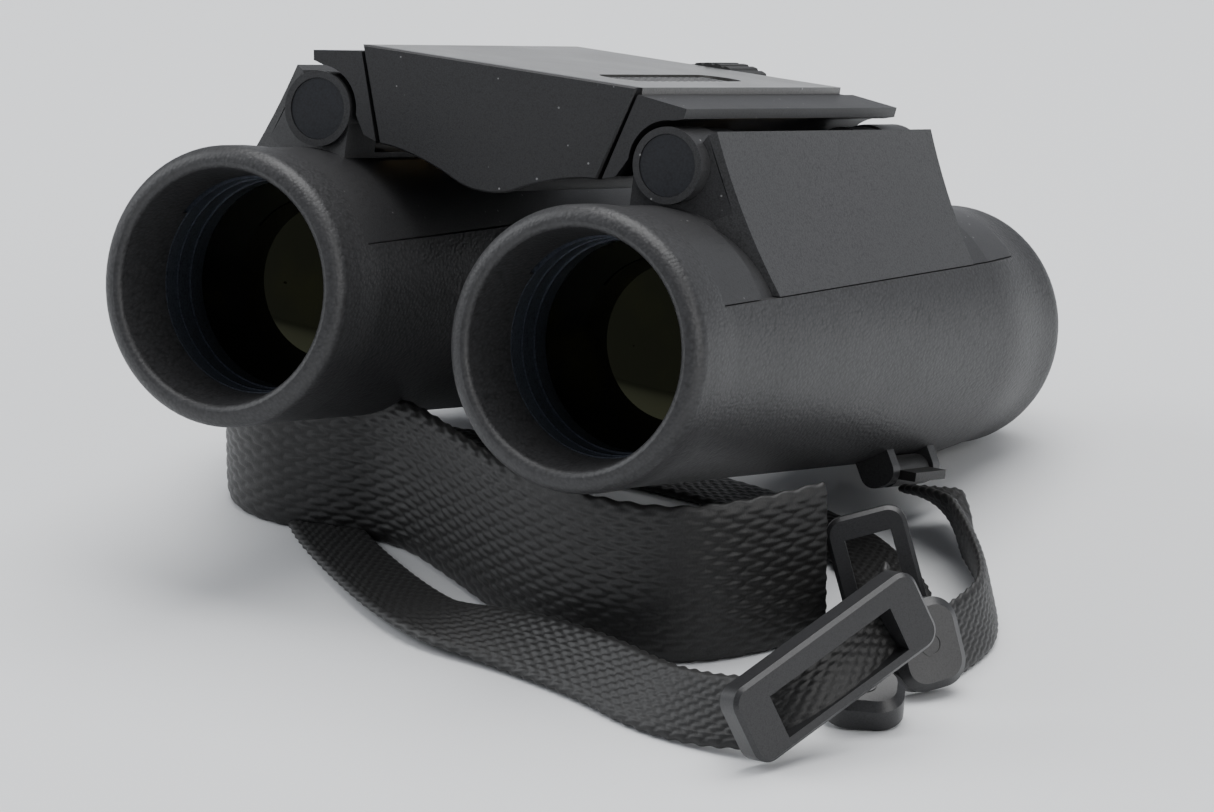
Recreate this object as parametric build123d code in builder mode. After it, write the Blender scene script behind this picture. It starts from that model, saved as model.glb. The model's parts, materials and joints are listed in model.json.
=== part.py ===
from build123d import *
from math import asin, cos, degrees, radians, sin, tan
import os

# A compact pair of roof-prism binoculars: two barrels hang by hinges under a central bridge.
# The binoculars are laid out level, in millimetres, with X to the right, Y from the objectives
# to the eyepieces and Z up. Zero is midway between the centres of the two front rings.
# At the end they are seated as they stand: nose up, on their strap and their rear ends.

# ---- Driving dimensions
BARREL_X = 25.8            # each barrel axis, from the centre plane
HINGE_Z = 22.8             # each hinge axis, straight above its barrel axis
PITCH = 14.17              # degrees that the nose is raised as the binoculars stand

RING_R = 18.0              # front ring, outside
ARMOUR_R = 17.75           # rubber armour on the barrel
SADDLE_R = 17.6            # bare tube inside the armour's window
TUBE_R = 16.9              # tube under the armour
BORE_R = 15.4              # inside of the tube
MOUTH_R = 13.9             # rear end of the flared mouth
CELL_Y = 9.4               # front end of the tube and of the objective cell
BULKHEAD_Y = 98.0
NECK_R = 12.9              # neck at the rear of the tube
NECK_Y = 112.3
NECK_BORE_R = 11.3
TAPER_Y = 88.0             # where the armour starts to narrow
REAR_R = 16.3
REAR_ROUND = 6.0           # radius of the armour's rounded rear end
REAR_Y = 112.4

WINDOW_Y = (8.5, 97.5)     # ends of the armour's window
SEAM_Z = 7.2               # the window's lower edge at Y zero
SEAM_RISE = 0.043          # and how fast it climbs to the rear
SEAM_GAP = 0.15

KNUCKLE_R = 4.9
CAP_R = 3.95
PIN_R = 2.0
RUNNING = 0.05             # radial clearance of a running fit
FRONT_Y = 19.2             # front of the bridge and of the hinge knuckles
KNUCKLE_Y = (19.2, 27.0)   # the barrel's front knuckle
REAR_KNUCKLE_Y = (75.0, 83.4)
BRIDGE_KNUCKLE_Y = ((27.3, 34.0), (68.0, 74.7))
SADDLE_END_Y = 83.0
SADDLE_SWEEP = 0.22        # how fast the saddle's front face falls back outwards
SADDLE_INNER_X = -4.7      # inner side of the saddle, from the barrel axis
FLANK_SKIN = 1.2

DECK_Z = 31.0              # top of the bridge body
COVER_T = 0.9
BRIDGE_END_Y = 76.4
WING_END_Y = 79.1
PLATE_T = 1.6
GROOVE = 0.45              # groove round the front plate
CUP_R = 5.7                # hollow of the bridge round each hinge knuckle

POST_Y = 50.0              # middle of the focusing post and of its spool
WHEEL_R = 9.6
WHEEL_Y = (77.8, 86.0)
SPINDLE_R = 2.6

LUG_ANGLE = -60.0          # strap lug, round the barrel from +X
LUG_Y = (70.0, 84.0)       # outer faces of its two ears

BARREL_AXIS = Axis((BARREL_X, 0, 0), (0, 1, 0))
PROFILE = Plane(origin=(BARREL_X, 0, 0))                      # radius and Y of a turned piece
BELLY = [(16.0, 19.6), (12.4, 19.2), (5.6, 17.1), (0, 15.7)]  # lower edge of the bridge, one half
PLATE_TOP_X = 20.2
PLATE_FOOT_X = BELLY[0][0]

pieces = {}


def front(x, y, z):
    """A plane facing forwards at a point."""
    return Plane(origin=(x, y, z), x_dir=(1, 0, 0), z_dir=(0, -1, 0))


def bar(x, z, y0, y1, radius, hole=0.0):
    """A round bar or tube along Y."""
    with BuildPart() as form:
        with BuildSketch(front(x, y0, z)):
            Circle(radius)
            if hole:
                Circle(hole, mode=Mode.SUBTRACT)
        extrude(amount=y0 - y1)
    return form.part


def block(x, y, z):
    """A box from three (low, high) pairs."""
    with BuildPart() as form:
        with BuildSketch(Plane.XY.offset(z[0])):
            with Locations(((x[0] + x[1]) / 2, (y[0] + y[1]) / 2)):
                Rectangle(x[1] - x[0], y[1] - y[0])
        extrude(amount=z[1] - z[0])
    return form.part


def turned(outline):
    """A solid turned about the barrel axis, from (radius, y) corners."""
    with BuildPart() as form:
        with BuildSketch(PROFILE):
            with BuildLine():
                Polyline(*outline, close=True)
            make_face()
        revolve(axis=BARREL_AXIS)
    return form.part


def keep(part, name):
    pieces[name] = part


def keep_pair(part, name):
    """A right-hand piece, and its mirror image for the left barrel."""
    keep(part, "right_" + name)
    keep(mirror(part, about=Plane.YZ), "left_" + name)


# ---- The armour's window: the space above a plane that climbs to the rear
def window(inset):
    y0, y1 = WINDOW_Y[0] + inset, WINDOW_Y[1] - inset
    with BuildPart() as form:
        with BuildSketch(Plane.YZ.offset(BARREL_X)):
            with BuildLine():
                Polyline(
                    (y0, SEAM_Z + inset + SEAM_RISE * y0),
                    (y1, SEAM_Z + inset + SEAM_RISE * y1),
                    (y1, 2 * RING_R),
                    (y0, 2 * RING_R),
                    close=True,
                )
            make_face()
        extrude(amount=RING_R + 1, both=True)
    return form.part


# ---- Outer flank of the saddle, from the barrel axis: (x, z) of its top, middle and foot
FLANK = [(5.2, 27.8), (9.5, 18.5), (16.0, 8.0)]
FLANK_NORMAL = (0.87, 0.48)


def sunk(point, depth):
    """A point of the flank moved into the saddle."""
    return (point[0] - depth * FLANK_NORMAL[0], point[1] - depth * FLANK_NORMAL[1])


def behind_saddle_face(part):
    """What is left of a piece behind the saddle's swept front face."""
    with BuildPart() as form:
        add(part)
        with BuildSketch(PROFILE):
            with BuildLine():
                Polyline(
                    (SADDLE_INNER_X, FRONT_Y + 0.3),
                    (2 * RING_R, FRONT_Y + 0.3 + SADDLE_SWEEP * (2 * RING_R - SADDLE_INNER_X)),
                    (2 * RING_R, 0),
                    (-RING_R, 0),
                    (-RING_R, FRONT_Y + 0.3),
                    close=True,
                )
            make_face()
        extrude(amount=2 * RING_R, mode=Mode.SUBTRACT)
    return form.part


# ---- Saddle: the solid block on top of the tube that carries the barrel's two knuckles
with BuildPart() as saddle_block:
    with BuildSketch(front(BARREL_X, FRONT_Y, 0)):
        with BuildLine():
            Polyline(
                (10.0, 10.0),
                (SADDLE_INNER_X, 15.0),
                (SADDLE_INNER_X, HINGE_Z),
                (0, HINGE_Z),
                (3.5, 26.1),
                sunk(FLANK[0], FLANK_SKIN),
            )
            ThreePointArc(*[sunk(point, FLANK_SKIN) for point in FLANK])
            Line(sunk(FLANK[2], FLANK_SKIN), (10.0, 10.0))
        make_face()
    extrude(amount=FRONT_Y - SADDLE_END_Y)
    add(bar(BARREL_X, 0, 0, REAR_Y, TUBE_R - 0.5), mode=Mode.SUBTRACT)

hinge_room = block(
    (BARREL_X - 12, BARREL_X + 6.6), (KNUCKLE_Y[1], REAR_KNUCKLE_Y[0]), (SADDLE_R + 0.1, 2 * RING_R)
)
saddle_core = behind_saddle_face(saddle_block.part)

# ---- Tube: barrel housing with its saddle, its knuckles, its neck and the strap lug's ears
with BuildPart() as pad:
    with BuildSketch(PROFILE):
        with BuildLine():
            Polyline(
                (TUBE_R - 1.0, WINDOW_Y[0]),
                (SADDLE_R, WINDOW_Y[0]),
                (SADDLE_R, TAPER_Y),
                (ARMOUR_R - 0.7, WINDOW_Y[1]),
                (TUBE_R - 1.0, WINDOW_Y[1]),
                close=True,
            )
        make_face()
    revolve(axis=BARREL_AXIS)
    add(window(SEAM_GAP), mode=Mode.INTERSECT)

TUBE_STEPS = [(TUBE_R, CELL_Y), (TUBE_R, 90), (16.2, 96), (15.7, 100.5), (NECK_R, 100.5)]
tube_blank = turned(
    TUBE_STEPS
    + [(NECK_R, NECK_Y), (NECK_BORE_R, NECK_Y), (NECK_BORE_R, BULKHEAD_Y), (BORE_R, BULKHEAD_Y)]
    + [(BORE_R, CELL_Y)]
)

with BuildPart() as flank_blank:
    with BuildSketch(front(BARREL_X, FRONT_Y, 0)):
        with BuildLine():
            ThreePointArc(*FLANK)
            Polyline(
                FLANK[2],
                (FLANK[2][0] - 2.6, FLANK[2][1] - 1.3),
                sunk(FLANK[1], 4),
                sunk(FLANK[1], FLANK_SKIN),
            )
            Line(sunk(FLANK[1], FLANK_SKIN), sunk(FLANK[0], FLANK_SKIN))
            Line(sunk(FLANK[0], FLANK_SKIN), FLANK[0])
        make_face()
    extrude(amount=FRONT_Y - SADDLE_END_Y)

with BuildPart() as lug_ears:
    for y in (LUG_Y[0], LUG_Y[1] - 2.0):
        with BuildSketch(front(BARREL_X, y, 0)):
            with PolarLocations(TUBE_R + 1.6, 1, start_angle=LUG_ANGLE):
                RectangleRounded(6.6, 5.0, 2.0)
        extrude(amount=-2.0)
LUG_PIN_R = 0.9
LUG_PIN_AT = TUBE_R + 3.0
lug_x = BARREL_X + LUG_PIN_AT * cos(radians(LUG_ANGLE))
lug_z = LUG_PIN_AT * sin(radians(LUG_ANGLE))
lug_pin = bar(lug_x, lug_z, LUG_Y[0] + 0.2, LUG_Y[1] - 0.2, LUG_PIN_R)

with BuildPart() as tube:
    add(saddle_core)
    for y0, y1 in (KNUCKLE_Y, REAR_KNUCKLE_Y):
        add(bar(BARREL_X, HINGE_Z, y0, y1, KNUCKLE_R))
    add(hinge_room, mode=Mode.SUBTRACT)
    add(tube_blank)
    add(pad.part)
    add(flank_blank.part, mode=Mode.SUBTRACT)
    add(tube_blank)
    add(lug_ears.part)
    for y0, y1 in (KNUCKLE_Y, REAR_KNUCKLE_Y):
        add(bar(BARREL_X, HINGE_Z, y0 - 1, y1 + 1, PIN_R + RUNNING), mode=Mode.SUBTRACT)
    for y in (KNUCKLE_Y[0], REAR_KNUCKLE_Y[1] - 1.0):
        add(bar(BARREL_X, HINGE_Z, y, y + 1.0, CAP_R + RUNNING), mode=Mode.SUBTRACT)
    add(
        block((BARREL_X - 1.6, BARREL_X + 1.6), (POST_Y - 3.6, POST_Y + 3.6), (10, HINGE_Z)),
        mode=Mode.SUBTRACT,
    )
    add(lug_pin, mode=Mode.SUBTRACT)
    add(bar(BARREL_X, 0, CELL_Y - 1, BULKHEAD_Y, BORE_R), mode=Mode.SUBTRACT)
keep_pair(tube.part, "tube")
keep_pair(lug_pin, "strap_lug_pin")

with BuildPart() as flank_cover:
    add(behind_saddle_face(flank_blank.part))
    add(bar(BARREL_X, 0, 0, REAR_Y, TUBE_R), mode=Mode.SUBTRACT)
    add(window(SEAM_GAP), mode=Mode.INTERSECT)
keep_pair(flank_cover.part, "flank_cover")

# ---- Armour: one rubber sleeve, with the flared mouth in front and the rounded end behind
with BuildPart() as armour:
    with BuildSketch(PROFILE):
        with BuildLine():
            Line((MOUTH_R, CELL_Y), (15.0, 1.2))
            ThreePointArc((15.0, 1.2), (15.25, 0.4), (15.9, 0))
            ThreePointArc((15.9, 0), (17.4, 0.65), (RING_R, 2.2))
            Line((RING_R, 2.2), (RING_R, 5.0))
            Spline(
                (RING_R, 5.0),
                (ARMOUR_R, 10.5),
                tangents=((0, 1), (0, 1)),
            )
            Line((ARMOUR_R, 10.5), (ARMOUR_R, TAPER_Y))
            Spline(
                (ARMOUR_R, TAPER_Y),
                (REAR_R, REAR_Y - REAR_ROUND),
                tangents=((0, 1), (0, 1)),
            )
            rear_round = CenterArc(
                (REAR_R - REAR_ROUND, REAR_Y - REAR_ROUND), REAR_ROUND, 0, 63
            )
            Polyline(
                rear_round @ 1,
                (NECK_R + 0.1, 100.6),
                (15.8, 100.6),
                (16.25, 96),
                (TUBE_R, 90),
                (TUBE_R, CELL_Y),
                (MOUTH_R, CELL_Y),
            )
        make_face()
    revolve(axis=BARREL_AXIS)
    add(window(0), mode=Mode.SUBTRACT)
    add(lug_ears.part, mode=Mode.SUBTRACT)
keep_pair(armour.part, "armour")

# ---- Objective: a stepped cell with the lens behind its shoulder and a lock ring behind the lens
CELL_BORE = 13.4
LENS_Y = 17.6
LENS_R = 14.2
objective_cell = turned(
    [
        (BORE_R, CELL_Y),
        (13.75, CELL_Y),
        (13.75, 12.0),
        (13.6, 12.0),
        (13.6, 14.8),
        (CELL_BORE, 14.8),
        (CELL_BORE, LENS_Y),
        (LENS_R, LENS_Y),
        (LENS_R, 28.0),
        (BORE_R, 28.0),
    ]
)
keep_pair(objective_cell, "objective_cell")


def lens(radius, y, front_sag, edge, back_sag):
    """A round lens: its front rim at y, with the height of each crown and its edge thickness."""
    with BuildPart() as form:
        with BuildSketch(PROFILE):
            with BuildLine():
                Line((0, y - front_sag), (0, y + edge + back_sag))
                if back_sag:
                    CenterArc(*crown(radius, y + edge, back_sag))
                else:
                    Line((0, y + edge), (radius, y + edge))
                Line((radius, y), (radius, y + edge))
                CenterArc(*crown(radius, y, -front_sag))
            make_face()
        revolve(axis=BARREL_AXIS)
    return form.part


def crown(radius, y, sag):
    """Centre, radius and angles of an arc from a lens's axis to its rim."""
    curve = (radius**2 + sag**2) / (2 * abs(sag))
    half = degrees(asin(radius / curve))
    if sag > 0:
        return (0, y + sag - curve), curve, 90 - half, half
    return (0, y + sag + curve), curve, 270, half


keep_pair(lens(LENS_R, LENS_Y + 0.2, 1.5, 3.6, 0.6), "objective_lens")
keep_pair(bar(BARREL_X, 0, LENS_Y + 4.2, LENS_Y + 6.4, LENS_R, 12.6), "objective_lock_ring")

# ---- Focusing lens: its cell slides in the tube, with a post up into the carriage's spool
FOCUS_CELL_R = BORE_R - 0.07
FOCUS_LENS_R = 11.5
SPOOL_R = 3.6
SPOOL_NECK_R = 2.0
with BuildPart() as focus_cell:
    add(bar(BARREL_X, 0, POST_Y - 3.5, POST_Y + 3.5, FOCUS_CELL_R))
    add(
        block(
            (BARREL_X - 1.2, BARREL_X + 1.2),
            (POST_Y - 1.0, POST_Y + 1.0),
            (FOCUS_LENS_R + 1, HINGE_Z - SPOOL_NECK_R - 0.3),
        )
    )
    add(bar(BARREL_X, 0, POST_Y - 4, POST_Y + 4, FOCUS_LENS_R), mode=Mode.SUBTRACT)
keep_pair(focus_cell.part, "focus_cell")
keep_pair(lens(FOCUS_LENS_R, POST_Y - 1.0, 0.8, 2.6, 0), "focus_lens")

# ---- Prisms: a half-penta prism and a roof prism with a thin air gap, in a cage
PRISM_REAR_Y = 95.5
PRISM_HALF = 13.3          # half of the roof prism's long faces
APERTURE = 11.0
PRISM_AIR = 0.5
PRISM_SIDE = 2 * PRISM_HALF * sin(radians(45))
PRISM_FRONT_Y = PRISM_REAR_Y - PRISM_SIDE - PRISM_AIR
CAGE_R = BORE_R - 0.1


def prism(corners):
    """A prism across the barrel, from (y, z) corners."""
    with BuildPart() as form:
        with BuildSketch(Plane.YZ.offset(BARREL_X - APERTURE / 2)):
            with BuildLine():
                Polyline(*corners, close=True)
            make_face()
        extrude(amount=APERTURE)
    return form.part


roof_blank = prism(
    [
        (PRISM_REAR_Y, -PRISM_HALF),
        (PRISM_REAR_Y, PRISM_HALF),
        (PRISM_REAR_Y - PRISM_SIDE, PRISM_SIDE - PRISM_HALF),
    ]
)
keep_pair(roof_blank, "roof_prism")
keep_pair(
    prism(
        [
            (PRISM_REAR_Y - PRISM_AIR, -PRISM_HALF),
            (PRISM_FRONT_Y, PRISM_SIDE - PRISM_HALF),
            (PRISM_FRONT_Y, PRISM_SIDE - PRISM_HALF - APERTURE),
        ]
    ),
    "half_penta_prism",
)
with BuildPart() as cage:
    add(bar(BARREL_X, 0, PRISM_FRONT_Y - 2.0, PRISM_FRONT_Y, CAGE_R, APERTURE / 2 - 0.3))
    add(bar(BARREL_X, 0, PRISM_REAR_Y, BULKHEAD_Y, CAGE_R, APERTURE / 2 - 0.3))
    for side in (-1, 1):
        cheek = sorted((side * APERTURE / 2, side * (APERTURE / 2 + 1.8)))
        add(block([BARREL_X + x for x in cheek], (PRISM_FRONT_Y, PRISM_REAR_Y), (-12.5, 12.5)))
keep_pair(cage.part, "prism_cage")

# ---- Eyepiece: its housing slides in the neck's bore and carries a field lens and an eye lens
OCULAR_R = NECK_BORE_R - RUNNING
OCULAR_REAR_R = 9.8
OCULAR_STEP_Y = 106.5      # where the housing narrows to let the eyecup's skirt in
OCULAR_END_Y = 115.4
EYE_LENS_R = 8.6
ocular = turned(
    [
        (9.0, 98.8),
        (OCULAR_R, 98.8),
        (OCULAR_R, OCULAR_STEP_Y),
        (OCULAR_REAR_R, OCULAR_STEP_Y),
        (OCULAR_REAR_R, OCULAR_END_Y),
        (EYE_LENS_R, OCULAR_END_Y),
        (EYE_LENS_R, 106.0),
        (9.0, 106.0),
    ]
)
keep_pair(ocular, "eyepiece_housing")
keep_pair(lens(9.0, 102.0, 1.0, 2.4, 0.8), "field_lens")
keep_pair(lens(EYE_LENS_R, 111.4, 0.9, 2.2, 0.7), "eye_lens")

EYECUP_R = 11.2
EYECUP_Y = (107.4, 116.8)
EYECUP_LIP_Y = 115.8       # the lip that turns in behind the housing
eyecup = turned(
    [
        (OCULAR_REAR_R + RUNNING, EYECUP_Y[0]),
        (EYECUP_R, EYECUP_Y[0]),
        (EYECUP_R, EYECUP_Y[1] - 0.8),
        (EYECUP_R - 0.8, EYECUP_Y[1]),
        (9.2, EYECUP_Y[1]),
        (8.8, EYECUP_LIP_Y),
        (OCULAR_REAR_R + RUNNING, EYECUP_LIP_Y),
    ]
)
keep_pair(eyecup, "eyecup")

# ---- The ring behind each barrel: a fixed collar on the left, the dioptre ring on the right
RING_Y = (112.6, 114.6)
EYE_RING_R = 12.7
EYE_RING_BORE_R = EYECUP_R + 0.2
with BuildPart() as dioptre_ring:
    add(bar(BARREL_X, 0, RING_Y[0], RING_Y[1], EYE_RING_R, EYE_RING_BORE_R))
    with BuildSketch(front(BARREL_X, RING_Y[0] + 0.4, 0)):
        with PolarLocations(EYE_RING_R, 36):
            Circle(0.28)
    extrude(amount=-1.2, mode=Mode.SUBTRACT)
keep(dioptre_ring.part, "right_dioptre_ring")
with BuildPart() as collar:
    add(bar(BARREL_X, 0, NECK_Y, RING_Y[1], EYE_RING_R, EYE_RING_BORE_R))
keep(mirror(collar.part, about=Plane.YZ), "left_eyepiece_collar")

# ---- Hinge caps: a disc in the mouth of each barrel knuckle
with BuildPart() as caps:
    for y in (KNUCKLE_Y[0] + 0.15, REAR_KNUCKLE_Y[1] - 1.0):
        with BuildSketch(front(BARREL_X, y, HINGE_Z)):
            Circle(CAP_R)
        extrude(amount=-0.85)
keep_pair(caps.part, "hinge_caps")

# ---- Bridge body: a slant-sided housing with a wing over each hinge
with BuildPart() as body:
    with BuildSketch(front(0, FRONT_Y + 0.2, 0)):
        with BuildLine():
            Polyline((0, DECK_Z), (20.7, DECK_Z), (27.5, 30.2), (27.3, 28.9), (BARREL_X, HINGE_Z + CUP_R))
            ThreePointArc(
                (BARREL_X, HINGE_Z + CUP_R),
                (BARREL_X - CUP_R * sin(radians(45)), HINGE_Z + CUP_R * cos(radians(45))),
                (BARREL_X - CUP_R, HINGE_Z),
            )
            Polyline((BARREL_X - CUP_R, HINGE_Z), (18.6, 20.4), BELLY[0], (0, BELLY[0][1]))
            mirror(about=Plane.YZ)
        make_face()
    extrude(amount=FRONT_Y + 0.2 - WING_END_Y)
    add(
        block((-20.8, 20.8), (BRIDGE_END_Y, WING_END_Y + 1), (10, DECK_Z + 1)),
        mode=Mode.SUBTRACT,
    )
    with BuildSketch(front(0, FRONT_Y, 0)):
        with BuildLine():
            Polyline(
                (PLATE_TOP_X + GROOVE, DECK_Z + COVER_T),
                (PLATE_FOOT_X + GROOVE, 19.0),
                (-PLATE_FOOT_X - GROOVE, 19.0),
                (-PLATE_TOP_X - GROOVE, DECK_Z + COVER_T),
                close=True,
            )
        make_face()
    extrude(amount=-PLATE_T, mode=Mode.SUBTRACT)
    with BuildSketch(front(0, 24.0, 0)):
        with BuildLine():
            Polyline((-17.6, 29.4), (17.6, 29.4), (14.6, 19.0), (-14.6, 19.0), close=True)
        make_face()
    extrude(amount=24.0 - 74.0, mode=Mode.SUBTRACT)
    add(block((-21, 21), (42.0, 58.0), (19.0, HINGE_Z + 2.0)), mode=Mode.SUBTRACT)
    for side in (-1, 1):
        for y0, y1 in BRIDGE_KNUCKLE_Y:
            add(bar(side * BARREL_X, HINGE_Z, y0, y1, KNUCKLE_R - 0.3))
            web = sorted((side * 18.0, side * BARREL_X))
            add(block(web, (y0, y1), (HINGE_Z - 2.3, HINGE_Z + 2.3)))
            add(bar(side * BARREL_X, HINGE_Z, y0 - 1, y1 + 1, PIN_R), mode=Mode.SUBTRACT)
    add(bar(0, HINGE_Z, 20.0, 30.0, PIN_R + RUNNING), mode=Mode.SUBTRACT)
    add(bar(0, HINGE_Z, 70.0, WING_END_Y, 3.0 + RUNNING), mode=Mode.SUBTRACT)
SCREWS = [(side * x, z) for side in (-1, 1) for x, z in ((14.6, 28.0), (12.6, 22.0))]
with BuildPart() as screws:
    for x, z in SCREWS:
        add(bar(x, z, BRIDGE_END_Y + 0.8, BRIDGE_END_Y + 1.6, 1.5))
        add(bar(x, z, BRIDGE_END_Y - 2.0, BRIDGE_END_Y + 0.8, 0.8))
    for x, z in SCREWS:
        add(
            block((x - 1.0, x + 1.0), (BRIDGE_END_Y + 1.2, BRIDGE_END_Y + 2), (z - 0.2, z + 0.2)),
            mode=Mode.SUBTRACT,
        )
keep(screws.part, "rear_plate_screws")
with BuildPart() as bridge_body:
    add(body.part)
    for x, z in SCREWS:
        add(bar(x, z, BRIDGE_END_Y - 2.0, BRIDGE_END_Y + 1, 0.8), mode=Mode.SUBTRACT)
keep(bridge_body.part, "bridge_body")

with BuildPart() as pins:
    for side in (-1, 1):
        add(bar(side * BARREL_X, HINGE_Z, KNUCKLE_Y[0] + 1.2, BRIDGE_KNUCKLE_Y[0][1], PIN_R))
        add(bar(side * BARREL_X, HINGE_Z, BRIDGE_KNUCKLE_Y[1][0], REAR_KNUCKLE_Y[1] - 1.2, PIN_R))
keep(pins.part, "hinge_pins")

# ---- Front plate: slant-sided, with a belly that drops between the barrels
with BuildPart() as front_plate:
    with BuildSketch(front(0, FRONT_Y, 0)):
        with BuildLine():
            Polyline((0, DECK_Z + COVER_T), (PLATE_TOP_X, DECK_Z + COVER_T), BELLY[0])
            Spline(*BELLY, tangents=((-1, 0), (-1, 0)))
            mirror(about=Plane.YZ)
        make_face()
    extrude(amount=-PLATE_T)
    chamfer(front_plate.faces().sort_by(Axis.Y)[0].edges(), 0.2)
keep(front_plate.part, "front_plate")

with BuildPart() as rear_plate:
    with BuildSketch(front(0, BRIDGE_END_Y, 0)):
        with BuildLine():
            Polyline((0, DECK_Z), (19.6, DECK_Z), (15.6, 19.7), (0, 19.7))
            mirror(about=Plane.YZ)
        make_face()
        with Locations((0, HINGE_Z)):
            Circle(3.3, mode=Mode.SUBTRACT)
        with Locations(*SCREWS):
            Circle(0.8, mode=Mode.SUBTRACT)
    extrude(amount=-0.8)
keep(rear_plate.part, "rear_plate")

# ---- Top cover: a thin plate with a shallow ribbed thumb rest beside the middle
REST_X = (8.0, 14.5)
REST_Y = (29.0, 61.0)
with BuildPart() as top_cover:
    add(block((-PLATE_TOP_X, PLATE_TOP_X), (FRONT_Y + PLATE_T, BRIDGE_END_Y), (DECK_Z, DECK_Z + COVER_T)))
    with BuildSketch(Plane.XY.offset(DECK_Z + COVER_T)):
        with Locations(((REST_X[0] + REST_X[1]) / 2, (REST_Y[0] + REST_Y[1]) / 2)):
            SlotOverall(REST_Y[1] - REST_Y[0], REST_X[1] - REST_X[0], rotation=90)
    extrude(amount=-0.5, mode=Mode.SUBTRACT)
    with BuildSketch(Plane.XY.offset(DECK_Z + COVER_T - 0.5)):
        with Locations(((REST_X[0] + REST_X[1]) / 2, (REST_Y[0] + REST_Y[1]) / 2)):
            with GridLocations(1, 2.0, 1, 13):
                SlotOverall(REST_X[1] - REST_X[0] - 2.0, 0.8)
    extrude(amount=0.3)
keep(top_cover.part, "top_cover")

# ---- Bottom cover: the rounded belly that closes the bridge from below
COVER_STEP = 0.3           # how far the belly stands back from the front plate's edge
with BuildPart() as bottom_cover:
    with BuildSketch(front(0, FRONT_Y + PLATE_T + 0.1, 0)):
        inner_belly = [(x - COVER_STEP, z + COVER_STEP / 2) for x, z in BELLY[1:3]]
        inner_belly = [(BELLY[0][0] - COVER_STEP, BELLY[0][1])] + inner_belly
        inner_belly += [(0, BELLY[3][1] + COVER_STEP / 2)]
        with BuildLine():
            Line((0, BELLY[0][1]), inner_belly[0])
            Spline(*inner_belly, tangents=((-1, 0), (-1, 0)))
            mirror(about=Plane.YZ)
        make_face()
    extrude(amount=FRONT_Y + PLATE_T + 0.1 - BRIDGE_END_Y)
    with BuildSketch(front(0, 25.0, 0)):
        with BuildLine():
            Polyline((-9.0, 19.8), (9.0, 19.8), (4.5, 18.6), (0, 17.6), (-4.5, 18.6), close=True)
        make_face()
    extrude(amount=25.0 - 73.0, mode=Mode.SUBTRACT)
keep(bottom_cover.part, "bottom_cover")

# ---- Focusing: wheel and spindle, and the carriage whose spools push the focusing posts
with BuildPart() as wheel:
    with BuildSketch(front(0, WHEEL_Y[0], HINGE_Z)):
        Circle(WHEEL_R)
        with PolarLocations(WHEEL_R + 0.15, 40):
            Circle(0.4, mode=Mode.SUBTRACT)
        Circle(PIN_R, mode=Mode.SUBTRACT)
    extrude(amount=WHEEL_Y[0] - WHEEL_Y[1])
    chamfer(wheel.edges().group_by(Axis.Y)[0].filter_by(GeomType.CIRCLE).sort_by(SortBy.RADIUS)[0], 0.3)
keep(wheel.part, "focus_wheel")

with BuildPart() as spindle:
    add(bar(0, HINGE_Z, 21.2, 36.0, PIN_R))
    add(bar(0, HINGE_Z, 36.0, 71.0, SPINDLE_R))
    add(bar(0, HINGE_Z, 71.0, WHEEL_Y[0] - 0.2, 3.0))
    add(bar(0, HINGE_Z, WHEEL_Y[0] - 0.2, WHEEL_Y[1] - 0.6, PIN_R))
keep(spindle.part, "focus_spindle")

with BuildPart() as carriage:
    add(block((-5, 5), (POST_Y - 4.5, POST_Y + 4.5), (HINGE_Z - 3.0, HINGE_Z + 4.0)))
    for side in (-1, 1):
        add(bar(side * BARREL_X, HINGE_Z, POST_Y - 4.5, POST_Y + 4.5, SPOOL_R))
        arm = sorted((side * 4.0, side * BARREL_X))
        add(block(arm, (POST_Y - 4.5, POST_Y - 1.7), (HINGE_Z - 1.5, HINGE_Z + 1.5)))
        add(
            bar(side * BARREL_X, HINGE_Z, POST_Y - 1.2, POST_Y + 1.2, SPOOL_R + 1, SPOOL_NECK_R),
            mode=Mode.SUBTRACT,
        )
    add(bar(0, HINGE_Z, 40, 60, SPINDLE_R + RUNNING), mode=Mode.SUBTRACT)
keep(carriage.part, "focus_carriage")

# ---- Strap lug loops: the webbing's end, sewn round the lug pin of each barrel
LOOP_Y = (72.5, 81.5)
LOOP_R = 2.05
TAIL = (4.5, 0.0)          # the tail's far end, from the pin
with BuildPart() as lug_loop:
    add(bar(lug_x, lug_z, LOOP_Y[0], LOOP_Y[1], LOOP_R))
    with BuildSketch(front(lug_x, LOOP_Y[0], lug_z)):
        with BuildLine():
            Polyline(
                (0, 0.6),
                (TAIL[0], TAIL[1] + 0.6),
                (TAIL[0], TAIL[1] - 0.6),
                (0, -0.7),
                close=True,
            )
        make_face()
    extrude(amount=LOOP_Y[0] - LOOP_Y[1])
    add(bar(lug_x, lug_z, LOOP_Y[0] - 1, LOOP_Y[1] + 1, LUG_PIN_R + 0.15), mode=Mode.SUBTRACT)
lug_loops = {
    "right_lug_loop": lug_loop.part,
    "left_lug_loop": mirror(lug_loop.part, about=Plane.YZ),
}

# ---- Strap: a wide band on edge and narrow webbing, as they lie in the seated frame
WEB_W = 9.5
WEB_T = 1.3
BAND_T = 1.8
TABLE_GAP = 0.1


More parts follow.
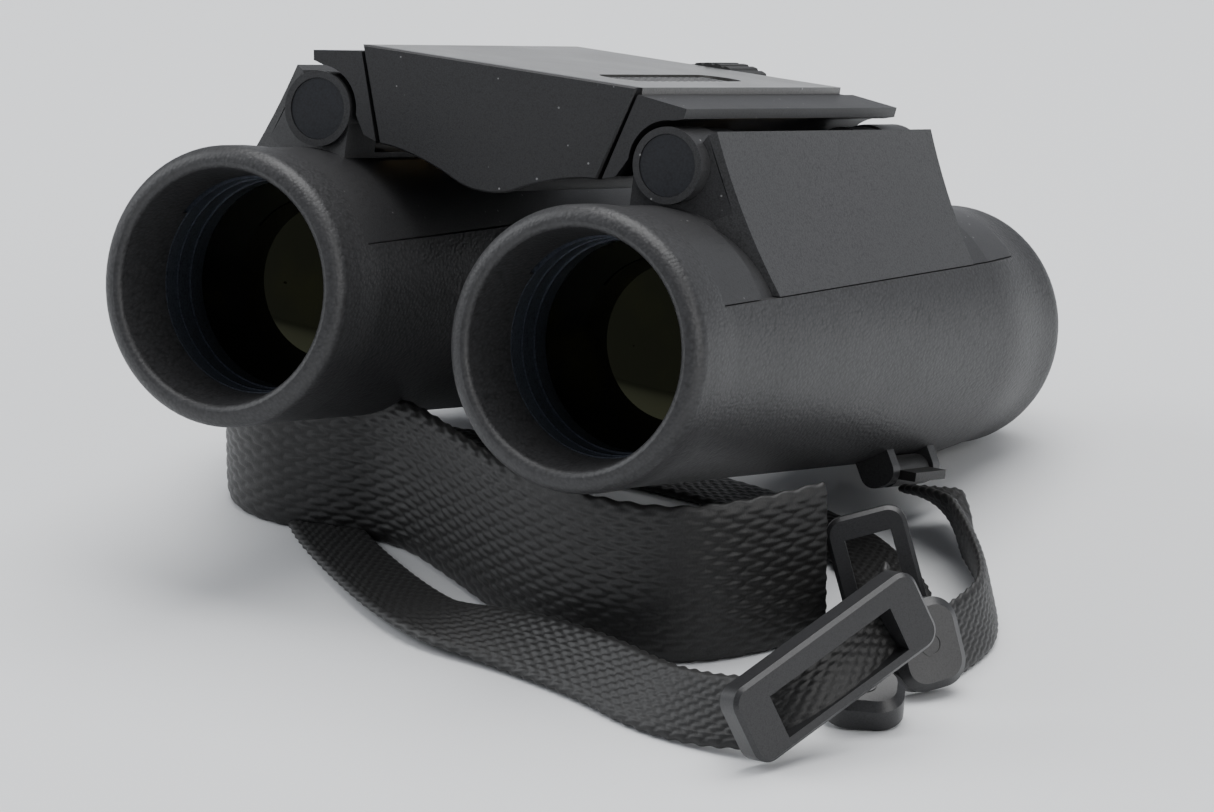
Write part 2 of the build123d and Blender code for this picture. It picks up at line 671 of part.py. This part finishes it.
def ribbon(name, route, width, height, low):
    """Strap swept along straight runs joined by tangent arcs, its lower side at a height."""
    corners = [Vector(x, y, low + height / 2) for x, y in route]
    radii = []
    for before, corner, after in zip(corners, corners[1:], corners[2:]):
        half_turn = radians((corner - before).get_angle(after - corner)) / 2
        shorter = min((corner - before).length, (after - corner).length)
        radii.append(0.45 * shorter / tan(half_turn))
    with BuildPart() as form:
        with BuildLine() as path:
            FilletPolyline(*corners, radius=radii)
        across = Vector(0, 0, 1).cross(path.wire() % 0)
        with BuildSketch(Plane(origin=path.wire() @ 0, x_dir=across, z_dir=path.wire() % 0)):
            Rectangle(width, height)
        sweep(path=path.wire())
    length = path.wire().length
    print(name, f"length {length:.1f}, volume {form.part.volume / (width * height * length):.3f} of its run")
    print("  radii", [round(radius, 1) for radius in radii])
    return form.part


def slider(centre, along, facing, size, slot, slot_drop=0.0):
    """A rounded plastic frame with one slot, from its length, width and thickness."""
    with BuildPart() as form:
        with BuildSketch(Plane(origin=centre, x_dir=along, z_dir=facing)):
            RectangleRounded(size[0], size[1], 2.4)
            with Locations((0, slot_drop)):
                Rectangle(*slot, mode=Mode.SUBTRACT)
        extrude(amount=size[2] / 2, both=True)
        chamfer(form.faces().sort_by(Axis(centre, facing))[-1].outer_wire().edges(), 0.5)
    return form.part


def keeper(centre, along, facing, size):
    """A solid rounded keeper, moulded round the webbing's end, with a small raised ring on its face."""
    face = Plane(origin=centre, x_dir=along, z_dir=facing)
    with BuildPart() as form:
        with BuildSketch(face):
            RectangleRounded(size[0], size[1], 3.4)
        extrude(amount=size[2] / 2, both=True)
        chamfer(form.faces().sort_by(Axis(centre, facing))[-1].edges(), 1.0)
        with BuildSketch(face.offset(size[2] / 2 - 0.1)):
            Circle(1.5)
            Circle(1.2, mode=Mode.SUBTRACT)
        extrude(amount=0.2)
    return form.part


strap = {}
BAND_ROUTE = [(-52, -1.4), (-50, -11.4), (-46, -23.4), (-38, -28.9), (-28, -28.7), (-16.4, -27.7), (-4, -35.4)]
BAND_ROUTE += [(8.3, -43.9), (20.4, -49.5), (32.3, -50), (39.2, -46.9), (45.5, -37.3), (48, -30.9)]
BAND_H = 21.3
with BuildPart() as band:
    add(ribbon("strap_band", BAND_ROUTE, BAND_T, BAND_H, TABLE_GAP))
    with BuildSketch(Plane.XZ):
        with BuildLine():
            Polyline(
                (-60, 17.8), (-40, 17.8), (-33, 16.4), (-18, 16.4), (-9, 17.8), (4, 21.6), (4, 30), (-60, 30), close=True
            )
        make_face()
    extrude(amount=60, both=True, mode=Mode.SUBTRACT)
    add(block((-35.8, -18.5), (-33.4, -23.4), (0, 1.8)), mode=Mode.SUBTRACT)
strap["strap_band"] = band.part

FRONT_ROUTE = [(-44.5, -3.4), (-41.5, -10.4), (-35, -19.4), (-25, -31.3), (-15, -40.1), (-3, -50), (6.5, -55.9)]
FRONT_ROUTE += [(17, -57.6), (33, -62.5), (44, -68.9), (53.1, -70), (58, -68.8)]
strap["strap_front_webbing"] = ribbon("strap_front_webbing", FRONT_ROUTE, WEB_W, WEB_T, TABLE_GAP)

LEFT_ROUTE = [(60.5, -46.9), (57.8, -40.4), (57, -32.4), (53.5, -19.4), (46, -8.9), (30, 4.6), (5, 10.6)]
LEFT_ROUTE += [(-20, 11.6), (-38, 11.1), (-47, 15.1), (-50, 21.1)]
strap["strap_left_webbing"] = ribbon("strap_left_webbing", LEFT_ROUTE, WEB_W, WEB_T, TABLE_GAP)

RIGHT_ROUTE = [(68.6, -35), (68.9, -28.4), (66.3, -19.7), (57.5, -6.3), (49.9, 3.2), (44.2, 9.8)]
strap["strap_right_webbing"] = ribbon("strap_right_webbing", RIGHT_ROUTE, WEB_T, 9.0, TABLE_GAP)

REAR_ROUTE = [(56.1, -30.7), (58.5, -36.4), (60.9, -42.4), (61.8, -47.6)]
strap["strap_rear_webbing"] = ribbon("strap_rear_webbing", REAR_ROUTE, WEB_T, 9.0, 1.6)

strap["strap_slider_front"] = slider(
    (66.3, -63.6, 10.4), (0.366, 0.861, 0.355), (0.871, -0.451, 0.197), (30, 10.5, 3.4), (20, 6), -0.75
)
strap["strap_slider_rear"] = slider(
    (53.6, -26.9, 9.3), (0.35, -0.1, -0.93), (0.445, -0.86, 0.26), (14.5, 10.5, 2.6), (8.5, 6)
)
strap["strap_keeper_front"] = keeper(
    (68.0, -41.6, 6.3), (0.55, 0.8, 0.1), (0.77, -0.55, 0.33), (9.4, 11.4, 4.0)
)
strap["strap_keeper_rear"] = keeper(
    (66.4, -54.6, 3.5), (0.9, 0.42, -0.06), (0.2, -0.3, 0.93), (10, 8, 4.0)
)

# ---- Seat the binoculars: nose up, resting on their rear ends, with zero under their middle
pitch = Location((0, 0, 0), (-PITCH, 0, 0))
boxes = [part.moved(pitch).bounding_box() for part in pieces.values()]
middle_y = (min(box.min.Y for box in boxes) + max(box.max.Y for box in boxes)) / 2
seat = Location((0, -middle_y, -min(box.min.Z for box in boxes))) * pitch
print("seat", seat.position)

seated = {name: part.moved(seat) for name, part in (pieces | lug_loops).items()} | strap
os.makedirs("parts", exist_ok=True)
for name, part in seated.items():
    part.label = name
    export_step(part, f"parts/{name}.step")
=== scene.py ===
import json
from math import pi, radians

import bpy
import numpy as np
from mathutils import Matrix, Vector


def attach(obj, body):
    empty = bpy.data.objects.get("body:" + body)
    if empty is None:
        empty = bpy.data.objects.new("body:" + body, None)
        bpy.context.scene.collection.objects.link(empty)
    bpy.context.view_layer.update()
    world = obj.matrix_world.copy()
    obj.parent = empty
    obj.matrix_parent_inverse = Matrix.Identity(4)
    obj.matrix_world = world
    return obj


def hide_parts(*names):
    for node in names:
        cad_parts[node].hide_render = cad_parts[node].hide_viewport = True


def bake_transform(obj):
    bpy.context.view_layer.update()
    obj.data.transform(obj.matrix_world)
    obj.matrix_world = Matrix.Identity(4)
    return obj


# Compact binoculars, nose up on their strap. Metres; +X to the right, +Y to the eyepieces, +Z up.
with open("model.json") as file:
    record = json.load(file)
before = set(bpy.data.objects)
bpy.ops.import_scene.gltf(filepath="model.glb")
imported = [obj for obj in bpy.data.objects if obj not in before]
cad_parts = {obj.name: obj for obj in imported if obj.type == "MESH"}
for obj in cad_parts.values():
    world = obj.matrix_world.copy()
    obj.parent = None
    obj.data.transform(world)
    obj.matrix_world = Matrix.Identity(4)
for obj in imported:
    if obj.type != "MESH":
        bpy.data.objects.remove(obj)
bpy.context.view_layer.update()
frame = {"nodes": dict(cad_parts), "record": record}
nodes = frame["nodes"]
MM = 0.001

# ---- Camera, at the photograph's viewing angle
VIEW_BACK = Vector((0.46658, -0.82369, 0.32223))
VIEW_RIGHT = Vector((0.87010, 0.49287, 0.0))
VIEW_UP = Vector((-0.15882, 0.28038, 0.94666))
camera_data = bpy.data.cameras.new("camera")
camera_data.lens = 208.6
camera_data.sensor_width = 36.0
camera_data.clip_start = 0.05
camera_data.clip_end = 20.0
camera = bpy.data.objects.new("camera", camera_data)
turn = Matrix((VIEW_RIGHT, VIEW_UP, VIEW_BACK)).transposed().to_4x4()
camera.matrix_world = Matrix.Translation((0.43638, -0.77180, 0.3156)) @ turn
bpy.context.scene.collection.objects.link(camera)
bpy.context.scene.camera = camera


# ---- Stage: pale floor, even surround and three soft lights
def plain_material(name, color, roughness):
    material = bpy.data.materials.new(name)
    material.use_nodes = True
    shader = material.node_tree.nodes["Principled BSDF"]
    shader.inputs["Base Color"].default_value = (*color, 1)
    shader.inputs["Roughness"].default_value = roughness
    return material


bpy.ops.mesh.primitive_plane_add(size=8, location=(0, 0, 0))
floor = bpy.context.object
floor.name = "floor"
floor.data.materials.append(plain_material("floor_paper", (0.80, 0.81, 0.82), 0.7))

world = bpy.data.worlds.new("surround")
world.use_nodes = True
world.node_tree.nodes["Background"].inputs["Color"].default_value = (0.90, 0.93, 1.0, 1)
world.node_tree.nodes["Background"].inputs["Strength"].default_value = 0.40
bpy.context.scene.world = world


def soft_light(name, place, aim, size, power, color=(1, 1, 1)):
    data = bpy.data.lights.new(name, "AREA")
    data.shape = "RECTANGLE"
    data.size, data.size_y = size
    data.energy = power
    data.color = color
    light = bpy.data.objects.new(name, data)
    light.location = place
    aim_line = Vector(aim) - Vector(place)
    light.rotation_euler = aim_line.to_track_quat("-Z", "Y").to_euler()
    bpy.context.scene.collection.objects.link(light)


soft_light("overhead", (0.05, 0.25, 1.1), (0, 0, 0.03), (1.1, 1.1), 17)
soft_light("left_window", (-1.0, -0.35, 0.65), (0, 0, 0.04), (0.7, 0.8), 7, (0.96, 0.98, 1.0))
soft_light("right_fill", (1.1, -0.3, 0.5), (0, 0, 0.04), (0.7, 0.7), 5, (1.0, 0.99, 0.97))


# ---- Materials
def value_node(tree, kind, **settings):
    node = tree.nodes.new(kind)
    for key, value in settings.items():
        if key in node.inputs:
            node.inputs[key].default_value = value
        else:
            setattr(node, key, value)
    return node


def object_coordinates(tree, scale=(1, 1, 1), rotation=(0, 0, 0)):
    """Object coordinates, turned and scaled, so that a grain stays with its piece."""
    place = value_node(tree, "ShaderNodeTexCoord")
    mapping = value_node(tree, "ShaderNodeMapping")
    mapping.inputs["Scale"].default_value = scale
    mapping.inputs["Rotation"].default_value = rotation
    tree.links.new(place.outputs["Object"], mapping.inputs["Vector"])
    return mapping.outputs["Vector"]


def ramp(tree, source, stops):
    node = tree.nodes.new("ShaderNodeValToRGB")
    elements = node.color_ramp.elements
    while len(elements) < len(stops):
        elements.new(0.5)
    for element, (at, color) in zip(elements, stops):
        element.position = at
        element.color = (*color, 1)
    tree.links.new(source, node.inputs["Fac"])
    return node.outputs["Color"]


def grey(level):
    return (level, level, level)


def grained(name, color, roughness, grain, depth, stretch=(1, 1, 1), tilt=(0, 0, 0), speck=0.0, **sockets):
    """A dark moulded surface: pebbled grain in the height, a tone with painted highlight on the pebble crowns
    and painted shade in the crevices between them, varied at random by the noise, and uneven gloss.
    """
    material = bpy.data.materials.new(name)
    material.use_nodes = True
    tree = material.node_tree
    shader = tree.nodes["Principled BSDF"]
    cells_per_metre = 1.0 / grain
    fine = object_coordinates(tree, [s * cells_per_metre for s in stretch], tilt)
    pebbles = value_node(tree, "ShaderNodeTexVoronoi", feature="SMOOTH_F1")
    pebbles.inputs["Scale"].default_value = 1.0
    pebbles.inputs["Smoothness"].default_value = 0.4
    noise = value_node(tree, "ShaderNodeTexNoise", Scale=0.55, Detail=5.0, Roughness=0.65)
    tree.links.new(fine, pebbles.inputs["Vector"])
    tree.links.new(fine, noise.inputs["Vector"])
    height = value_node(tree, "ShaderNodeMath", operation="MULTIPLY")
    tree.links.new(pebbles.outputs["Distance"], height.inputs[0])
    tree.links.new(noise.outputs["Fac"], height.inputs[1])
    bump = value_node(tree, "ShaderNodeBump", Strength=1.0, Distance=depth)
    bump.invert = True
    tree.links.new(height.outputs[0], bump.inputs["Height"])
    tree.links.new(bump.outputs["Normal"], shader.inputs["Normal"])
    # Painted light and shade: lit and shaded copies of the base colour, lighter on the pebble crowns and
    # darker in the crevices.
    dark = tuple(c * 0.62 for c in color)
    light = tuple(c * 1.55 for c in color)
    tone = ramp(tree, height.outputs[0], [(0.05, light), (0.5, dark)])
    if speck:
        flecks = value_node(tree, "ShaderNodeTexWhiteNoise")
        grid = value_node(tree, "ShaderNodeTexVoronoi", Scale=speck)
        tree.links.new(object_coordinates(tree), grid.inputs["Vector"])
        tree.links.new(grid.outputs["Color"], flecks.inputs["Vector"])
        near = ramp(tree, grid.outputs["Distance"], [(0.10, grey(1)), (0.16, grey(0))])
        few = ramp(tree, flecks.outputs["Value"], [(0.90, grey(0)), (0.93, grey(1))])
        both = value_node(tree, "ShaderNodeMix", data_type="RGBA", blend_type="MULTIPLY")
        both.inputs["Factor"].default_value = 1.0
        tree.links.new(near, both.inputs["A"])
        tree.links.new(few, both.inputs["B"])
        mix = value_node(tree, "ShaderNodeMix", data_type="RGBA")
        mix.inputs["B"].default_value = (*grey(0.22), 1)
        tree.links.new(both.outputs["Result"], mix.inputs["Factor"])
        tree.links.new(tone, mix.inputs["A"])
        tone = mix.outputs["Result"]
    tree.links.new(tone, shader.inputs["Base Color"])
    wear = value_node(tree, "ShaderNodeTexNoise", Scale=70.0, Detail=3.0)
    tree.links.new(object_coordinates(tree), wear.inputs["Vector"])
    gloss = value_node(tree, "ShaderNodeMapRange")
    gloss.inputs["To Min"].default_value = roughness - 0.07
    gloss.inputs["To Max"].default_value = roughness + 0.07
    tree.links.new(wear.outputs["Fac"], gloss.inputs["Value"])
    tree.links.new(gloss.outputs["Result"], shader.inputs["Roughness"])
    for key, value in sockets.items():
        shader.inputs[key.replace("_", " ")].default_value = value
    return material


def metal(name, color, roughness, brush=(1, 1, 1), depth=0.000003, **sockets):
    """Metal with fine drawn or turned marks."""
    material = bpy.data.materials.new(name)
    material.use_nodes = True
    tree = material.node_tree
    shader = tree.nodes["Principled BSDF"]
    shader.inputs["Metallic"].default_value = 1.0
    marks = value_node(tree, "ShaderNodeTexNoise", Scale=2500.0, Detail=4.0)
    tree.links.new(object_coordinates(tree, brush), marks.inputs["Vector"])
    bump = value_node(tree, "ShaderNodeBump", Strength=1.0, Distance=depth)
    tree.links.new(marks.outputs["Fac"], bump.inputs["Height"])
    tree.links.new(bump.outputs["Normal"], shader.inputs["Normal"])
    tone = ramp(tree, marks.outputs["Fac"], [(0.3, tuple(c * 0.85 for c in color)), (0.7, color)])
    tree.links.new(tone, shader.inputs["Base Color"])
    shader.inputs["Roughness"].default_value = roughness
    for key, value in sockets.items():
        shader.inputs[key.replace("_", " ")].default_value = value
    return material


def coated_glass(name, tint, facing, grazing, roughness=0.02):
    """A coated lens seen against its dark inside: tinted reflections that change with the angle."""
    material = bpy.data.materials.new(name)
    material.use_nodes = True
    tree = material.node_tree
    shader = tree.nodes["Principled BSDF"]
    edge = value_node(tree, "ShaderNodeLayerWeight", Blend=0.35)
    patches = value_node(tree, "ShaderNodeTexNoise", Scale=110.0, Detail=2.0)
    tree.links.new(object_coordinates(tree), patches.inputs["Vector"])
    deep = ramp(tree, patches.outputs["Fac"], [(0.52, grey(0.0008)), (0.78, tint)])
    tree.links.new(deep, shader.inputs["Base Color"])
    coat = ramp(tree, edge.outputs["Facing"], [(0.1, facing), (0.8, grazing)])
    tree.links.new(coat, shader.inputs["Specular Tint"])
    shader.inputs["Roughness"].default_value = roughness
    shader.inputs["IOR"].default_value = 1.52
    return material


MATERIALS = {
    "armour_rubber": grained(
        "armour_rubber", (0.019, 0.019, 0.020), 0.48, 0.00042, 0.00009, (1.0, 0.62, 1.0), (0.5, 0.2, 0.6),
    ),
    "tube_black": grained("tube_black", (0.022, 0.022, 0.023), 0.42, 0.00022, 0.00001, speck=900.0),
    "flank_grey": grained(
        "flank_grey", (0.032, 0.032, 0.033), 0.40, 0.00025, 0.000022, (1.0, 0.7, 1.0),
    ),
    # Lens cell: its black is lifted to a bluish grey as a painted reflection of the light that enters the
    # front and strikes its wall.
    "cell_black": grained("cell_black", (0.045, 0.052, 0.068), 0.30, 0.0003, 0.000004, Metallic=0.5),
    "cap_black": grained("cap_black", (0.010, 0.011, 0.014), 0.36, 0.0003, 0.000006),
    "pin_steel": metal("pin_steel", (0.62, 0.62, 0.60), 0.28, (1, 0.05, 1)),
    "bridge_black": grained("bridge_black", (0.016, 0.016, 0.017), 0.46, 0.0002, 0.000016, speck=900.0),
    # Top cover: the same black satin paint as the front plate, given a lighter, warmer base as a painted
    # reflection of light at a grazing angle.
    "cover_satin": grained(
        "cover_satin", (0.045, 0.044, 0.042), 0.30, 0.0002, 0.000012, speck=700.0, Coat_Weight=0.35,
        Coat_Roughness=0.22,
    ),
    "wheel_rubber": grained("wheel_rubber", (0.018, 0.018, 0.018), 0.55, 0.0003, 0.00003),
    "carriage_brass": metal("carriage_brass", (0.72, 0.52, 0.24), 0.25, (1, 0.05, 1)),
    "buckle_black": grained("buckle_black", (0.016, 0.016, 0.017), 0.38, 0.00018, 0.000012),
    "coated_glass": coated_glass("coated_glass", (0.008, 0.008, 0.001), (0.50, 0.52, 0.30), (0.7, 0.6, 0.7)),
}


def weave(name, along, across):
    """Woven webbing's yarn: dark twisted filaments with a soft sheen."""
    material = bpy.data.materials.new(name)
    material.use_nodes = True
    tree = material.node_tree
    shader = tree.nodes["Principled BSDF"]
    fibres = value_node(tree, "ShaderNodeTexNoise", Scale=1.0, Detail=3.0, Roughness=0.6)
    tree.links.new(object_coordinates(tree, along, across), fibres.inputs["Vector"])
    bump = value_node(tree, "ShaderNodeBump", Strength=1.0, Distance=0.00004)
    tree.links.new(fibres.outputs["Fac"], bump.inputs["Height"])
    tree.links.new(bump.outputs["Normal"], shader.inputs["Normal"])
    tone = ramp(tree, fibres.outputs["Fac"], [(0.35, grey(0.003)), (0.65, (0.012, 0.0115, 0.011))])
    tree.links.new(tone, shader.inputs["Base Color"])
    shader.inputs["Roughness"].default_value = 0.48
    shader.inputs["Sheen Weight"].default_value = 0.05
    shader.inputs["Sheen Roughness"].default_value = 0.4
    return material


MATERIALS["webbing"] = weave("webbing", (5200, 5200, 2600), (0.4, 0.0, 0.7))

# ---- Carried-over CAD nodes: the record's slot gives each its material
SLOTS = {row["node"]: row["material_slot"] for row in frame["record"]["subparts"]}


def finish_node(name, bevel=0.0):
    """The slot's material and smooth shading, with rounded edges where a bevel is given."""
    node = nodes[name]
    node.data.materials.clear()
    node.data.materials.append(MATERIALS[SLOTS[name]])
    for polygon in node.data.polygons:
        polygon.use_smooth = True
    if bevel:
        rounding = node.modifiers.new("rounding", "BEVEL")
        rounding.width = bevel
        rounding.segments = 2
        rounding.limit_method = "ANGLE"
        rounding.angle_limit = radians(40)


# ---- Strap: in millimetres. The band keeps part.py's route. The webbing keeps most of its points, but leaves
# them near the ends, by up to 9 mm on the left, and the front run goes on about 18 mm further, to its slider.
BAND_ROUTE = [
    (-52, -1.4), (-50, -11.4), (-46, -23.4), (-38, -28.9), (-28, -28.7), (-16.4, -27.7), (-4, -35.4),
    (8.3, -43.9), (20.4, -49.5), (32.3, -50), (39.2, -46.9), (45.5, -37.3), (48, -30.9),
]
FRONT_ROUTE = [
    (-50.5, 1.5, 6), (-47, 0, 3), (-44.5, -3.4, 1), (-41.5, -10.4, 0.8), (-35, -19.4, 0.8), (-25, -31.3, 0.8),
    (-15, -40.1, 1.2), (-3, -50, 2), (6.5, -55.9, 2.6), (17, -57.6, 3.2), (33, -62.5, 3.6),
    (44, -68.4, 3.8), (53.1, -70, 4.2), (60.5, -69.6, 5.2), (64.5, -66, 8.2), (67.5, -60, 10.8),
    (68.8, -53.5, 12.5),
]
LEFT_ROUTE = [
    (60.5, -46.9, 0.8), (57.8, -40.4, 0.8), (57, -32.4, 0.8), (53.5, -19.4, 0.8), (46, -8.9, 0.8),
    (30, 4.6, 0.8), (5, 10.6, 0.8), (-20, 10.6, 0.8), (-38, 8.2, 0.9), (-48, 8.6, 1.4), (-51.6, 12.6, 2.4),
    (-47.0, 15.2, 4.2), (-41.0, 14.6, 6.0),
]
RIGHT_ROUTE = [
    (68.4, -37.5), (68.9, -28.4), (66.3, -19.7), (57.5, -6.3), (49.9, 3.2), (44.8, 9.8), (40.8, 13.6),
]
REAR_ROUTE = [(56.1, -30.7, 7.5), (58.5, -36.4, 6.2), (60.9, -42.4, 6.1), (62.6, -48.6, 5.4)]
WEB_W, WEB_T = 9.3, 1.25
BAND_W, BAND_T = 20.8, 1.7
WEB_WEAVE = (0.72, 2.2)    # a yarn's width and its float length
BAND_WEAVE = (0.95, 3.5)
LOWEST = 0.1               # the strap lies this far above the floor
STEP = 0.22                # spacing of a ribbon's rows, along and across


def smooth_line(name, route):
    """The points of the route's smooth curve, in millimetres."""
    data = bpy.data.curves.new(name, "CURVE")
    data.dimensions = "3D"
    data.resolution_u = 24
    spline = data.splines.new("NURBS")
    spline.points.add(len(route) - 1)
    for point, place in zip(spline.points, route):
        point.co = (*[value * MM for value in place], 1)
    spline.order_u = 3
    spline.use_endpoint_u = True
    holder = bpy.data.objects.new(name, data)
    mesh = bpy.data.meshes.new_from_object(holder)
    points = np.array([vertex.co for vertex in mesh.vertices]) / MM
    bpy.data.objects.remove(holder)
    bpy.data.meshes.remove(mesh)
    return points


def even(points, step):
    """The same line, with evenly spaced points."""
    runs = np.linalg.norm(np.diff(points, axis=0), axis=1)
    along = np.concatenate([[0], np.cumsum(runs)])
    wanted = np.linspace(0, along[-1], max(8, int(along[-1] / step)))
    return wanted, np.stack([np.interp(wanted, along, points[:, k]) for k in range(3)], axis=1)


def woven(s, t, yarn, float_length, relief):
    """Height of a herringbone weave: lengthwise yarns that rise and dive, each shifted from the next."""
    row = np.floor(t / yarn)
    inside = t / yarn - row
    swing = 1 - 2 * np.mod(row, 2)
    phase = s / float_length + 0.5 * np.mod(row, 2) + 0.22 * swing * (inside - 0.5)
    rise = np.abs(np.sin(pi * phase)) ** 0.8
    crown = np.sqrt(np.clip(1 - (2 * inside - 1) ** 2, 0, 1))
    return relief * (rise * crown - 0.45)


def ribbon(name, route, width, thickness, lean, weave_size, relief=0.22):
    """A woven strap along a route; lean gives its tilt from flat, in degrees, at fractions of its length."""
    yarn, float_length = weave_size
    line = smooth_line(name, route)
    s, centre = even(line, STEP)
    ahead = np.gradient(centre, axis=0)
    ahead /= np.linalg.norm(ahead, axis=1)[:, None]
    side = np.cross((0, 0, 1), ahead)
    side /= np.linalg.norm(side, axis=1)[:, None]
    up = np.cross(ahead, side)
    tilt = np.radians(np.interp(s / s[-1], *zip(*lean)))[:, None]
    across = np.cos(tilt) * side + np.sin(tilt) * up
    facing = np.cross(ahead, across)
    t = np.linspace(-width / 2, width / 2, max(6, int(width / STEP)))
    edge = np.clip(1 - np.abs(2 * t / width) ** 10, 0.05, 1) ** 0.5
    rows = []
    for flip, columns in ((1, np.arange(len(t))), (-1, np.arange(len(t))[::-1])):
        tt, ee = t[columns], edge[columns]
        shift = 0.0 if flip > 0 else 0.5 * float_length
        weave_height = woven(s[:, None] + shift, tt[None, :] + width, yarn, float_length, relief)
        height = thickness / 2 * ee + weave_height * ee
        frayed = 0.12 * np.sin(2 * pi * s / float_length)[:, None] * (np.abs(2 * tt / width) > 0.97)
        place = centre[:, None, :] + across[:, None, :] * (tt + np.sign(tt) * frayed)[..., None]
        rows.append(place + flip * facing[:, None, :] * height[..., None])
    grid = np.concatenate(rows, axis=1)
    grid[..., 2] = np.maximum(grid[..., 2], LOWEST)
    count, around = grid.shape[:2]
    first = np.arange(count - 1)[:, None] * around + np.arange(around)[None, :]
    after = np.arange(count - 1)[:, None] * around + (np.arange(around) + 1)[None, :] % around
    faces = np.stack([first, after, after + around, first + around], axis=-1).reshape(-1, 4).tolist()
    faces.append(list(range(around))[::-1])
    faces.append(list(range((count - 1) * around, count * around)))
    mesh = bpy.data.meshes.new(name)
    mesh.from_pydata((grid.reshape(-1, 3) * MM).tolist(), [], faces)
    for polygon in mesh.polygons:
        polygon.use_smooth = True
    piece = bpy.data.objects.new(name, mesh)
    bpy.context.scene.collection.objects.link(piece)
    piece.data.materials.append(MATERIALS["webbing"])
    return piece, s[-1] * MM, [tuple(point) for point in line * MM]


def lay(name, node, route, width, thickness, lean, weave_size):
    """A ribbon that stands for its CAD node, which it hides."""
    piece, length, line = ribbon(name, route, width, thickness, lean, weave_size)
    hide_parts(node)
    return piece


MIDDLE = LOWEST + BAND_W / 2
band = lay(
    "woven_band", "strap_band", [(x, y, MIDDLE) for x, y in BAND_ROUTE], BAND_W, BAND_T, [(0, 90), (1, 90)],
    BAND_WEAVE,
)
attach(band, "bridge")
front = lay(
    "front_webbing", "strap_front_webbing", FRONT_ROUTE, WEB_W, WEB_T,
    [(0, 80), (0.1, 10), (0.3, 0), (0.5, 8), (0.62, 35), (0.8, 50), (1, 60)], WEB_WEAVE,
)
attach(front, "bridge")
rear = lay("rear_webbing", "strap_rear_webbing", REAR_ROUTE, WEB_W, WEB_T, [(0, 80), (1, 60)], WEB_WEAVE)
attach(rear, "bridge")
left = lay(
    "left_webbing", "strap_left_webbing", LEFT_ROUTE[::-1], WEB_W, WEB_T,
    [(0, 0), (1, 0)], WEB_WEAVE,
)
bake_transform(left)
right = lay(
    "right_webbing", "strap_right_webbing", [(x, y, 4.8) for x, y in RIGHT_ROUTE[::-1]], WEB_W, WEB_T,
    [(0, -10), (0.25, -75), (1, -80)], WEB_WEAVE,
)
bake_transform(right)

SOFT_EDGES = {
    "strap_slider_front": 0.0008,
    "strap_slider_rear": 0.0005,
    "strap_keeper_front": 0.0012,
    "strap_keeper_rear": 0.0012,
}
for node_name in nodes:
    finish_node(node_name, bevel=SOFT_EDGES.get(node_name, 0.0))
